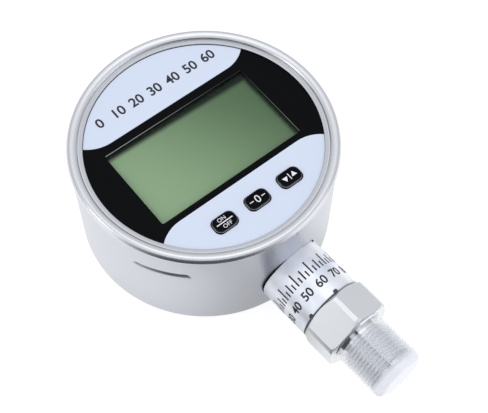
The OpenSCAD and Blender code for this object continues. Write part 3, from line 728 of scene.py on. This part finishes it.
# %% Foil finish and the label
def metallised_foil():
    """Silver foil with a cool tint and a slow, uneven sheen."""
    material = new_finish("metallised_foil", "#E6EAF4", {"Metallic": 0.7, "Roughness": 0.38})
    waves = grain(material, 7)
    tint = add("ValToRGB", {"Fac": waves.outputs[0]})
    tint.color_ramp.elements[0].position, tint.color_ramp.elements[1].position = 0.35, 0.7
    tint.color_ramp.elements[0].color = linear("#E6EBF5")
    tint.color_ramp.elements[1].color = linear("#F8F9FB")
    drive("Base Color", tint.outputs[0])
    raise_by(waves, 0.03)
    return material


def sleeve_band(name, outer_r, inner_r, start, end):
    """A thin band round the sleeve, between two radii and two places along the stem."""
    band = lathe(name, [(outer_r, start), (outer_r, end), (inner_r, end), (inner_r, start)], 128, closed=True)
    lay_on_stem(band)
    return band


foil_start, foil_end, foil_t = 47, sleeve_end - 0.4, 0.13
foil_label = sleeve_band("foil_label", label_r, label_r - foil_t, foil_start, foil_end)


# %% Cut the foil to the wall and at the crimps
def round_the_stem(turn, radius, along):
    """A place at a turn about the stem, in millimetres."""
    angle = math.radians(turn)
    return Vector((radius * math.sin(angle), -along, stem_z + radius * math.cos(angle)))


def notch_block(turn, size, radius):
    """A block on the stem's side at a turn, rounded like the press that made the notch."""
    piece = block("notch_block", size, round_the_stem(turn, radius, sleeve_end - notch_l / 2), turn)
    return soften(piece, min(0.6, size[2] / 2.5), 3)


def cut_to_wall(piece, place=(0, 0, 0)):
    """Cut a piece off along the case's wall, or along a wall moved to a place."""
    cut_away(piece, rod("wall_cutter", 512, case_r + wall_gap, 120, place))


wall_gap = 0.03
notch_turns, notch_w, notch_l = (-51, 4.5), 1.9, 1.35
# The second cut, a little askew, bares the seal on the left
cut_to_wall(foil_label)
cut_to_wall(foil_label, (-4.4, 0.07, 0))
for turn in notch_turns:
    cut_away(foil_label, notch_block(turn, (notch_w, notch_l, 3), label_r))
smooth(foil_label, 25)
wear(foil_label, metallised_foil(), "stem_label")

# %% [markdown]
# ## The seal and the crimps
# The rubber under the foil swells out to a dark crescent where the foil leaves it bare.
# At its far end it is pinched between foil and wall, which leaves one dark dot. At the
# foot of the sleeve the foil ends at two small crimps, whose hollows hold blocks of painted shade, with a
# dark line of painted shade in the joint between them.

# %% The seal's edge
seal_end, seal_end_r, seal_reach = Vector((11, -48.98, 25.75)), 0.33, 50.8
seal_edge = sleeve_band("seal_edge", label_r - 0.14, label_r - 0.45, foil_start, seal_reach)
cut_to_wall(seal_edge)
clear()
bpy.ops.mesh.primitive_uv_sphere_add(segments=16, ring_count=8, radius=seal_end_r * MM,
                                     location=seal_end * MM)
seal_edge = join("seal_edge", [seal_edge, named("seal_end")])
smooth(seal_edge)
wear(seal_edge, grained("swollen_seal_rubber", "#0B0B0D", 0.4, 0.01,
                        {"Roughness": 0.6, "Specular IOR Level": 0.15}))

# %% The crimps and the joint between them, darkened with painted shade
# Dark blocks in the crimps' hollows are painted shade
notch_shades = join("notch_shades", [
    notch_block(turn, (notch_w - 0.1, notch_l - 0.1, 0.3), label_r - 0.4) for turn in notch_turns])
wear(notch_shades, grained("crimp_hollow_painted_shade", "#4E525B", 0.4, 0.02, {"Metallic": 0.4, "Roughness": 0.5}))

# The line is painted shade in the gap of the joint. It is cut off on the right, just past the right crimp
cut_w, cut_x = 40, 1.8
joint_gap_shade_line = sleeve_band("joint_gap_shade_line", label_r - 0.06, label_r - 0.11, sleeve_end - 0.24, sleeve_end + 0.03)
cut_away(joint_gap_shade_line, block("right_half", (cut_w, cut_w, cut_w), (cut_x + cut_w / 2, -sleeve_end, stem_z)))
smooth(joint_gap_shade_line)
wear(joint_gap_shade_line, grained("joint_gap_painted_shade", "#44474E", 0.4, 0.01, {"Roughness": 0.5}))

# %% [markdown]
# ## The thread cap
# A cap of soft, milky plastic is pushed over the thread, whose ridges press through it
# as rings. Its wall lets much of the light pass, so the steel shows through it, but its
# end is thick and white. The outline has one gentle wave for each turn of the thread.

# %% Mould the cap
cap_wall, cap_floor, cap_edge, ring_pitch, ring_depth, cap_ribs = 0.65, 0.8, 2.7, 1.5, 0.4, 90
ring_steps = 6
ring_count = int((cap_end - cap_edge - 1 - cap_mouth) / ring_pitch)
inner_r, inner_end, inner_edge = cap_r - cap_wall, cap_end - cap_floor, cap_edge - cap_wall
cap_outline = [(cap_r - ring_depth / 2 + ring_depth / 2 * math.cos(math.tau * i / ring_steps),
                cap_mouth + i * ring_pitch / ring_steps) for i in range(ring_count * ring_steps + 1)]
cap_outline += arc((cap_r - cap_edge, cap_end - cap_edge), (cap_edge, cap_edge), 0, 90, 8)
cap_outline += [(0, cap_end), (0, inner_end)]
cap_outline += arc((inner_r - inner_edge, inner_end - inner_edge), (inner_edge, inner_edge), 90, 0, 6)
cap_outline += [(inner_r, cap_mouth)]
milky_cap = lathe("milky_cap", cap_outline, 128, closed=True)
lay_on_stem(milky_cap)
smooth(milky_cap, 50)


# %% Cap finish
def milky_polyethylene():
    """Soft moulded plastic, half clear at the thread and milky at its end, with a waxy gloss."""
    material = new_finish("milky_polyethylene", "#F6F8FD", {"Roughness": 0.14, "Alpha": 0.5})
    clouds = spread(grain(material, 3, 3), -0.05, 0.05)
    place = axes(here(material))
    along = place["Y"]
    thick = calc("ADD", ramp(along, -cap_end + 4.6, -cap_end + 1.8, 0.3, 0.92), clouds)
    # Fine ribs run lengthwise over the thread and fade towards the mouth
    turn = calc("ARCTAN2", place["X"], calc("SUBTRACT", place["Z"], stem_z * MM))
    wave = calc("SINE", calc("MULTIPLY", turn, cap_ribs))
    strong = ramp(along, -cap_mouth - 3, -cap_end + 7, 0, 0.1)
    ribs = calc("MULTIPLY", wave, strong)
    # The plastic is stretched white over each ridge of the thread
    phase = remap(along, -cap_mouth * MM, -(cap_mouth + ring_pitch) * MM, 0, math.tau, clamp=False)
    ridges = calc("MULTIPLY", calc("COSINE", phase), 0.06)
    # Ribs and ridges fade out where the cap's end turns milky
    faint = ramp(along, -cap_end + 2, -cap_end + 4, 0, 1)
    marks = calc("MULTIPLY", calc("ADD", ribs, ridges), faint)
    drive("Alpha", calc("ADD", thick, marks))
    raise_by(grain(material, 0.8, 3), 0.01)
    return material


wear(milky_cap, milky_polyethylene(), "thread_cap", "cap")

# %% [markdown]
# ## The keys
# Each key is a black moulding with a crowned top on a wider flange, which keeps it in
# its opening. The flange is a block with rounded corners. Its top is inset to the key's
# outline and drawn up, and the last edge is rounded over for the crown.

# %% Mould one key
key_size = Vector((9.6, 6.4))
key_round, key_flange, flange_t, crown = 2.7, 0.8, 1.3, 0.75


def mould_key(name):
    """A key at the dial's centre, square to the world, at its real height."""
    flange = (key_size.x + 2 * key_flange, key_size.y + 2 * key_flange, flange_t)
    piece = block(name, flange, (0, 0, key_low_z + flange_t / 2))
    edit(piece)
    pick("EDGE", lambda edge: abs((edge.verts[0].co - edge.verts[1].co).z) > MM)
    bpy.ops.mesh.bevel(offset=(key_round + key_flange) * MM, segments=10)
    pick("FACE", lambda face: face.normal.z > 0.9)
    bpy.ops.mesh.inset(thickness=key_flange * MM, depth=0)
    rise = key_top_z - crown - key_low_z - flange_t
    bpy.ops.mesh.extrude_region_move(TRANSFORM_OT_translate={"value": (0, 0, rise * MM)})
    bpy.ops.mesh.extrude_region_move(TRANSFORM_OT_translate={"value": (0, 0, crown * MM)})
    pick("EDGE", lambda edge: all(vert.co.z / MM > key_top_z - 0.01 for vert in edge.verts))
    bpy.ops.mesh.bevel(offset=(crown - 0.02) * MM, segments=6)
    done()
    return piece


key_master = mould_key("key_master")
print("a key has", len(key_master.data.polygons), "faces")


# %% Key finish and the three keys
def glossy_abs():
    """Polished black moulding: deep black with sharp, bright highlights."""
    material = new_finish("glossy_black_abs", "#07070A", {"Roughness": 0.12, "IOR": 2.4})
    gloss = ramp(axes(here(material))["Z"], key_top_z - 0.6, key_top_z - 0.04, 1, 0.01)
    drive("Specular IOR Level", gloss)
    dust = grain(material, 0.7)
    drive("Roughness", spread(dust, 0.08, 0.2))
    raise_by(dust, 0.002)
    return material


glossy_black_abs = glossy_abs()
key_bodies = {"key_power": "power_key", "key_zero": "zero_key", "key_unit": "unit_key"}
for place, (node, body) in enumerate(key_bodies.items(), start=-1):
    only(key_master)
    bpy.ops.object.duplicate()
    key = named("moulded_" + node)
    key.location = (place * key_pitch * MM, -key_drop * MM, 0)
    settle(key)
    lay_on_dial(key)
    smooth(key, 40)
    wear(key, glossy_black_abs, node, body)
bpy.data.objects.remove(key_master)

# %% [markdown]
# ## Prints
# Printed marks are thin plates of ink that lie on what carries them. Words of a maker
# are left off: the dial and the label get a plain row of numbers in their place, and the
# keys get ON and OFF, a zero and a pair of arrows.

# %% Ink plates
INK_T = 0.03


def lay_ink(piece, place):
    """Put a plate of ink on a place, with its underside at that height."""
    piece.location = (Vector(place) + Vector((0, 0, INK_T / 2))) * MM
    settle(piece)
    return piece


def ink_text(name, words, size, place, bold=0.02):
    """Words as a thin plate, with their baseline at a place on a flat face."""
    clear()
    bpy.ops.object.text_add(location=(0, 0, 0))
    piece = bpy.context.active_object
    piece.data.body = words
    piece.data.size = size * MM
    piece.data.align_x = "CENTER"
    piece.data.offset = bold * size * MM
    piece.data.extrude = INK_T / 2 * MM
    bpy.ops.object.convert(target="MESH")
    return lay_ink(named(name), place)


def ink_bar(name, size, place, corners=4):
    """A thin printed bar or, with three corners, a triangle."""
    piece = rod(name, corners, math.sqrt(0.5), INK_T, rotation=(0, 0, math.radians(180 / corners)))
    settle(piece)
    piece.scale = (*size, 1)
    return lay_ink(piece, place)


print("ink is", INK_T, "mm thick")


# %% Ink finishes
def printing_ink(name, colour, roughness):
    """Screen-printed ink: flat colour whose edge and gloss vary a little."""
    material = new_finish(name, colour, {"Roughness": roughness})
    vary_gloss(grain(material, 0.3), roughness, 0.2)
    return material


black_ink = printing_ink("black_screen_ink", "#16181D", 0.45)
white_ink = printing_ink("white_screen_ink", "#F2F3F5", 0.4)
print("inks:", black_ink.name, white_ink.name)

# %% Numbers on the dial
row_x, row_y, row_pitch = -0.4, 28.3, 8.4
number_row = join("number_row", [
    ink_text("number", str(10 * i), 5.8, ((i - 3) * row_pitch + row_x, row_y, film_z)) for i in range(7)])
lay_on_dial(number_row)
wear(number_row, black_ink)

# %% Legends on the keys
def on_key(place, x, y=0):
    """A place on top of a key, counted from -1 to 1, off its middle by x and y."""
    return place * key_pitch + x, -key_drop + y, key_top_z


power_legend = join("power_legend", [
    ink_text("on", "ON", 2.2, on_key(-1, -0.4, 0.7), 0),
    ink_text("off", "OFF", 2.2, on_key(-1, 0.2, -2.3), 0),
    ink_bar("line", (7, 0.42), on_key(-1, 0))])
zero_legend = join("zero_legend", [
    ink_bar("left", (1.6, 0.34), on_key(0, -2.6)),
    ink_text("zero", "0", 4.4, on_key(0, 0, -1.55), 0),
    ink_bar("right", (1.6, 0.34), on_key(0, 2.6))])
unit_legend = join("unit_legend", [
    ink_bar("up", (1.9, 1.9), on_key(1, -1.9), 3),
    ink_bar("line", (0.34, 2.8), on_key(1, 0)),
    ink_bar("down", (1.9, -1.9), on_key(1, 1.9), 3)])
for legend, body in zip([power_legend, zero_legend, unit_legend], key_bodies.values()):
    lay_on_dial(legend)
    wear(legend, white_ink, body=body)

# %% [markdown]
# ## The numbered ring on the label
# The label carries a plain graduated ring instead of its printed words: ticks towards
# the case and bold numbers below them. Each mark is made flat, then wrapped: its sideways
# place becomes a turn about the stem, so it lies on the foil all over.

# %% Print the ring flat
label_step = 30
ticks_per_step = 4
tick_low, tick_top, number_at = 60.3, 54.6, 66.2
marks = []
for step in range(360 // label_step):
    middle = math.radians(step * label_step - 180) * label_r
    marks.append(ink_text("label_number", str(10 * step), 4.9, (middle, -number_at, 0)))
    for tick in range(ticks_per_step):
        at = middle + math.radians(label_step) * label_r * tick / ticks_per_step
        tall = 1 if tick == 0 else 0.75 if tick == ticks_per_step // 2 else 0.45
        length = (tick_low - tick_top) * tall
        marks.append(ink_bar("label_tick", (0.62, length), (at, -tick_low + length / 2, 0)))
label_marks = join("label_marks", marks)
print(len(marks), "marks on the label")

# %% Wrap it round the label
edit(label_marks, "SELECT")
bpy.ops.mesh.quads_convert_to_tris()
bpy.ops.mesh.subdivide(number_cuts=2)
done()
for vert in label_marks.data.vertices:
    across, along, rise = vert.co / MM
    turn, reach = across / label_r, label_r + rise
    vert.co = Vector((reach * math.sin(turn), along, stem_z + reach * math.cos(turn))) * MM
edit(label_marks)
merge_close(0.0005)
bpy.ops.mesh.normals_make_consistent(inside=False)
done()
wear(label_marks, black_ink)

# %% [markdown]
# ## The window's bright edges, painted as highlights
# The cut edges of the clear cover catch the light along the far side of the window and,
# more finely, along its right end. Two slim bars stand just inside the opening's walls, and their colour is a
# painted highlight of those edges.

# %% Edge the window
window_mid = Vector((-0.7, -0.45))
window_size = Vector((63.6, 35.7))
edge_z = film_z - 0.45
far_bar_w, end_bar_w = 0.24, 0.16
top_y = window_mid.y + window_size.y / 2
end_x = window_mid.x + window_size.x / 2
# Two slim bars, with softened edges
far_bar = block("far_bar", (window_size.x - 0.2, far_bar_w, 0.3), (window_mid.x, top_y - 0.14, edge_z))
end_bar = block("end_bar", (end_bar_w, window_size.y - 0.5, 0.2), (end_x - 0.1, window_mid.y, edge_z))
window_edge_highlight = join("window_edge_highlight", [soften(far_bar, far_bar_w / 4, 2), soften(end_bar, end_bar_w / 4, 2)])
lay_on_dial(window_edge_highlight)
print("window edged with", len(window_edge_highlight.data.polygons), "faces")


# %% Edge finish: a painted highlight
def dial_place(material):
    """Object coordinates turned with the dial and centred on the window, in metres."""
    turned = add("VectorRotate", {"Vector": here(material), "Angle": -dial_turn}, rotation_type="Z_AXIS")
    return add("VectorMath", {0: turned.outputs[0], 1: (*-window_mid * MM, 0)}, operation="ADD").outputs[0]


def edge_highlight_finish():
    """A painted highlight of cut acrylic: bright at the near ends, fading to dark towards the far corner."""
    material = grained("edge_painted_highlight", "#8C9391", 0.5, 0.01,
                       {"Roughness": 0.3, "Specular IOR Level": 0.1})
    place = axes(dial_place(material))
    # Painted highlight: bright at the near ends, dark towards the far corner
    far_side = ramp(place["X"], -30, 26, 1, 0.08)
    end_side = ramp(place["Y"], 17, -14, 0.08, 0.75)
    light = calc("MAXIMUM", far_side, end_side)
    drive("Base Color", blend(light, linear("#101312"), linear("#9CA29E")))
    return material


wear(window_edge_highlight, edge_highlight_finish())

# %% [markdown]
# ## The display
# A reflective display is a grey-green sheet under glass. Its far edge lies in the shade
# of the window, and it is darker towards the far corner. Both are painted into the colour: a slow ramp of
# painted light in the dial's own directions, and a dark band of painted shade under the top edge.

# %% Display finish
def display_film():
    """Grey-green liquid crystal film, with painted light that falls off towards the far corner and painted
    shade under the window's far edges.
    """
    material = grained("lcd_film_and_painted_shade", "#7C9474", 2, 0.002,
                       {"Roughness": 0.3, "Specular IOR Level": 0.1})
    place = dial_place(material)
    # Painted light: lighter at the near left, darker towards the far corner
    far = ramp(dot(place, (0.9, 0.45, 0)), -30, 34, 0, 1)
    painted_light_ramp = blend(far, linear("#9AB88F"), linear("#5B7756"))
    # The painted shade under the far edge widens towards the far corner
    shade_top = ramp(dot(place, (0.03, 1, 0)), 13.8, 16.4, 0, 0.95)
    shade_side = ramp(axes(place)["X"], 29.3, 31.4, 0, 0.8)
    shade = calc("MAXIMUM", shade_top, shade_side)
    drive("Base Color", blend(shade, painted_light_ramp, linear("#141A16")))
    return material


lcd_film_and_painted_shade = display_film()
print("display finish is ready")

# %% [markdown]
# ## Finishes of the frame's own nodes
# The rest of the nodes keep their shapes. Each slot of the record is a material, made
# here by what it is: moulded plastic, rubber, plated metal, glass or printed film. A
# moulded piece has a grain about as coarse as its tool's texture, and a cast or plated
# one has a fine roughness of its surface.

# %% Plastics, rubber and film
def moulded(name, colour, roughness, size, depth, values=None):
    """A moulded surface with an even grain in its gloss and its height."""
    material = new_finish(name, colour, values)
    skin = grain(material, size)
    vary_gloss(skin, roughness, 0.15)
    raise_by(skin, depth)
    return material


def plated(name, colour, roughness, size, depth):
    """A plated or drawn metal surface with a fine grain."""
    return moulded(name, colour, roughness, size, depth, {"Metallic": 1})


finishes = {
    "case_steel": satin_sheet_steel,
    "bezel_steel": spun_bezel_steel,
    "door_steel": stamped_door_steel,
    "stem_steel": turned_bar_steel,
    "port_steel": drawn_and_turned_steel,
    # Drawn stainless cup, a little duller than the port
    "capsule_steel": plated("drawn_stainless_cup", "#C9CACC", 0.3, 0.5, 0.002),
    "screw_steel": nickel_plated_screw,
    "can_metal": plated("tinned_crystal_can", "#C8C9CA", 0.22, 0.4, 0.001),
    "contact_metal": plated("nickel_plated_spring_steel", "#C9C7BE", 0.28, 0.4, 0.002),
    "ring_brass": plated("turned_brass", "#C9A85C", 0.25, 0.4, 0.002),
    # Gloss black print under a clear hard coat: the band across the dial
    "dial_black": moulded("black_printed_acrylic", "#060708", 0.35, 1.2, 0.001,
                          {"Specular IOR Level": 0.05}),
    # Pale blue-white printed film with a soft gloss
    "pale_film": moulded("pale_printed_film", "#DCE5F5", 0.35, 0.8, 0.001),
    # Clear acrylic: only a faint gloss shows over the display
    "clear_pane": moulded("clear_acrylic", "#3A413D", 0.06, 4, 0.001, {"Alpha": 0.04}),
    "display_green": lcd_film_and_painted_shade,
    "white_acrylic": moulded("white_light_guide", "#E9ECE8", 0.3, 1, 0.002),
    "key_black": glossy_black_abs,
    "plunger_ivory": moulded("ivory_nylon", "#DDD5BC", 0.45, 0.5, 0.004),
    "socket_ivory": moulded("ivory_socket_nylon", "#E8E2D0", 0.45, 0.5, 0.004),
    "dark_plastic": moulded("textured_dark_abs", "#1C1C1F", 0.55, 0.6, 0.01),
    "chip_black": moulded("moulded_chip_epoxy", "#17181A", 0.6, 0.3, 0.006),
    "capacitor_sleeve": moulded("shrunk_blue_sleeve", "#262F52", 0.35, 1, 0.004),
    "cell_wrap": moulded("printed_cell_wrap", "#4A6F96", 0.3, 1.5, 0.003),
    "board_green": moulded("green_solder_mask", "#0F5A34", 0.35, 0.5, 0.004),
    "lead_black": moulded("black_lead_vinyl", "#1B1B1D", 0.4, 0.4, 0.004),
    "lead_red": moulded("red_lead_vinyl", "#A32620", 0.4, 0.4, 0.004),
    "foam_grey": moulded("grey_cell_foam", "#56575A", 0.95, 0.35, 0.08),
    "black_rubber": moulded("black_seal_rubber", "#0E0E0F", 0.6, 0.4, 0.01),
    "strip_rubber": moulded("layered_contact_rubber", "#8B8C92", 0.6, 0.3, 0.004),
}
print(len(finishes), "finishes for the frame's nodes")

# %% Put them on
for part in frame["record"]["subparts"]:
    node = frame["nodes"][part["node"]]
    if part["material_slot"] in finishes:
        node.data.materials.clear()
        node.data.materials.append(finishes[part["material_slot"]])
print("all nodes wear a finish")

# %% [markdown]
# ## The studio
# The gauge was shot on bright white, with soft light from above. The table glows a
# little, so that no shadow dims it. It is open under the gauge, where nobody sees it, so
# that the back can be looked at.

# %% Table and sky
table_hole_r, table_r, table_z = case_r - back_round - 0.5, 4000, 0.02
table = lathe("table", [(table_hole_r, table_z), (table_r, table_z)], 128)
white_table = new_finish("white_table", "#969696", {"Roughness": 0.8, "Emission Strength": 0.82})
white_table.node_tree.nodes["Principled BSDF"].inputs["Emission Color"].default_value = (1, 1, 1, 1)
table.data.materials.append(white_table)

world = bpy.data.worlds.new("studio")
bpy.context.scene.world = world
world.use_nodes = True
glow = ramp(axes(here(world, "Generated"))["Z"], 0.05, 0.85, 0.65, 0.98, unit=1)
sky = world.node_tree.nodes["Background"]
sky.inputs["Color"].default_value = linear("#F4F6FC")
world.node_tree.links.new(glow, sky.inputs["Strength"])
bpy.context.scene.view_settings.view_transform = "Standard"
print("table and sky are ready")


# %% Soft lamps overhead
def soft_lamp(name, place, size, power):
    """A square soft lamp that shines at the gauge and isn't seen itself."""
    data = bpy.data.lights.new(name, "AREA")
    data.size = size
    data.energy = power
    lamp = bpy.data.objects.new(name, data)
    bpy.context.scene.collection.objects.link(lamp)
    lamp.location = place
    lamp.rotation_mode = "QUATERNION"
    lamp.rotation_quaternion = Vector(place).to_track_quat("Z", "Y")
    lamp.visible_camera = False


soft_lamp("lamp_over", (0.15, 0.15, 1.2), 0.75, 1.1)
soft_lamp("box_left", (-0.9, 0.32, 0.26), 0.55, 0.48)
soft_lamp("box_right", (0.52, -0.8, 0.26), 0.6, 0.7)
soft_lamp("spark_left", (-0.7, 0.38, 0.66), 0.12, 0.4)
print("four lamps are lit")

# %% [markdown]
# ## Dark sheets for the steel to mirror
# Bright steel shows only what stands round it, so its dark lines need something dark: a
# flag beside the camera, a small card beside the thread and a shade on the table. All
# three are seen in reflections only, and each fades out to its sides.

# %% The dark flag beside the camera
def mirrored_sheet(name, material, size, place, rotation):
    """A flat piece of the studio, seen in reflections only. Its size and place are in metres."""
    clear()
    bpy.ops.mesh.primitive_plane_add(size=1, location=place, rotation=rotation)
    sheet = named(name)
    sheet.scale = (*size, 1)
    settle(sheet)
    sheet.data.materials.append(material)
    for way in ("camera", "diffuse", "shadow", "transmission"):
        setattr(sheet, "visible_" + way, False)
    print(name, "is up")


flag_w, flag_foot, flag_top, flag_h = 1.5, 0.086, 0.6, 0.47
flag_lean = math.atan2(flag_top - flag_foot, flag_h)
away = (flag_foot + flag_top) / 2
grey_cloth = new_finish("dark_grey_cloth", "#505055", {"Roughness": 1})
spot = here(grey_cloth)
ahead = Vector((0, 0, 1)).cross(level) * -1
share = calc("ABSOLUTE", calc("DIVIDE", dot(spot, level), dot(spot, ahead)))
drive("Alpha", ramp(share, 0.3, 1.5, 1, 0, unit=1))
mirrored_sheet("dark_flag", grey_cloth, (flag_w, math.hypot(flag_top - flag_foot, flag_h)),
               (math.sin(camera_turn) * away, -math.cos(camera_turn) * away, flag_h / 2),
               (math.radians(90) + flag_lean, 0, camera_turn))

# %% A small card beside the thread
# It gives the bright neck its black streak, and the cap its darker left side
card_turn, card_away, card_along, card_w, card_l = -43, 34, 90, 42, 26
black_card = new_finish("black_card", "#1A1A1D", {"Roughness": 1})
from_mid = calc("ABSOLUTE", axes(here(black_card))["X"])
drive("Alpha", ramp(from_mid, 10, 20, 1, 0))
mirrored_sheet("thread_card", black_card, (card_w * MM, card_l * MM),
               round_the_stem(card_turn, card_away, card_along) * MM, (0, math.radians(card_turn), 0))

# %% The stem's shade on the table
# Steel beside the stem mirrors the table there, which the stem keeps from the light
shade_w, shade_z = 160, 0.3
soft_shade = new_finish("soft_shade", "#1A1A1C", {"Roughness": 1})
ground = axes(here(soft_shade))
from_left = ramp(ground["X"], -62, -14, 0, 1)
from_right = ramp(ground["X"], 40, 6, 0, 1)
across = calc("MINIMUM", from_left, from_right)
by_wall = ramp(ground["Y"], -82, -64, 0, 0.42)
drive("Alpha", calc("MULTIPLY", across, by_wall))
mirrored_sheet("stem_shade", soft_shade, (shade_w * MM, shade_w * MM),
               Vector((0, -shade_w / 2, shade_z)) * MM, (0, 0, 0))

# %% [markdown]
# ## The end
# At the end, nothing is left selected.

# %% Deselect all
clear()
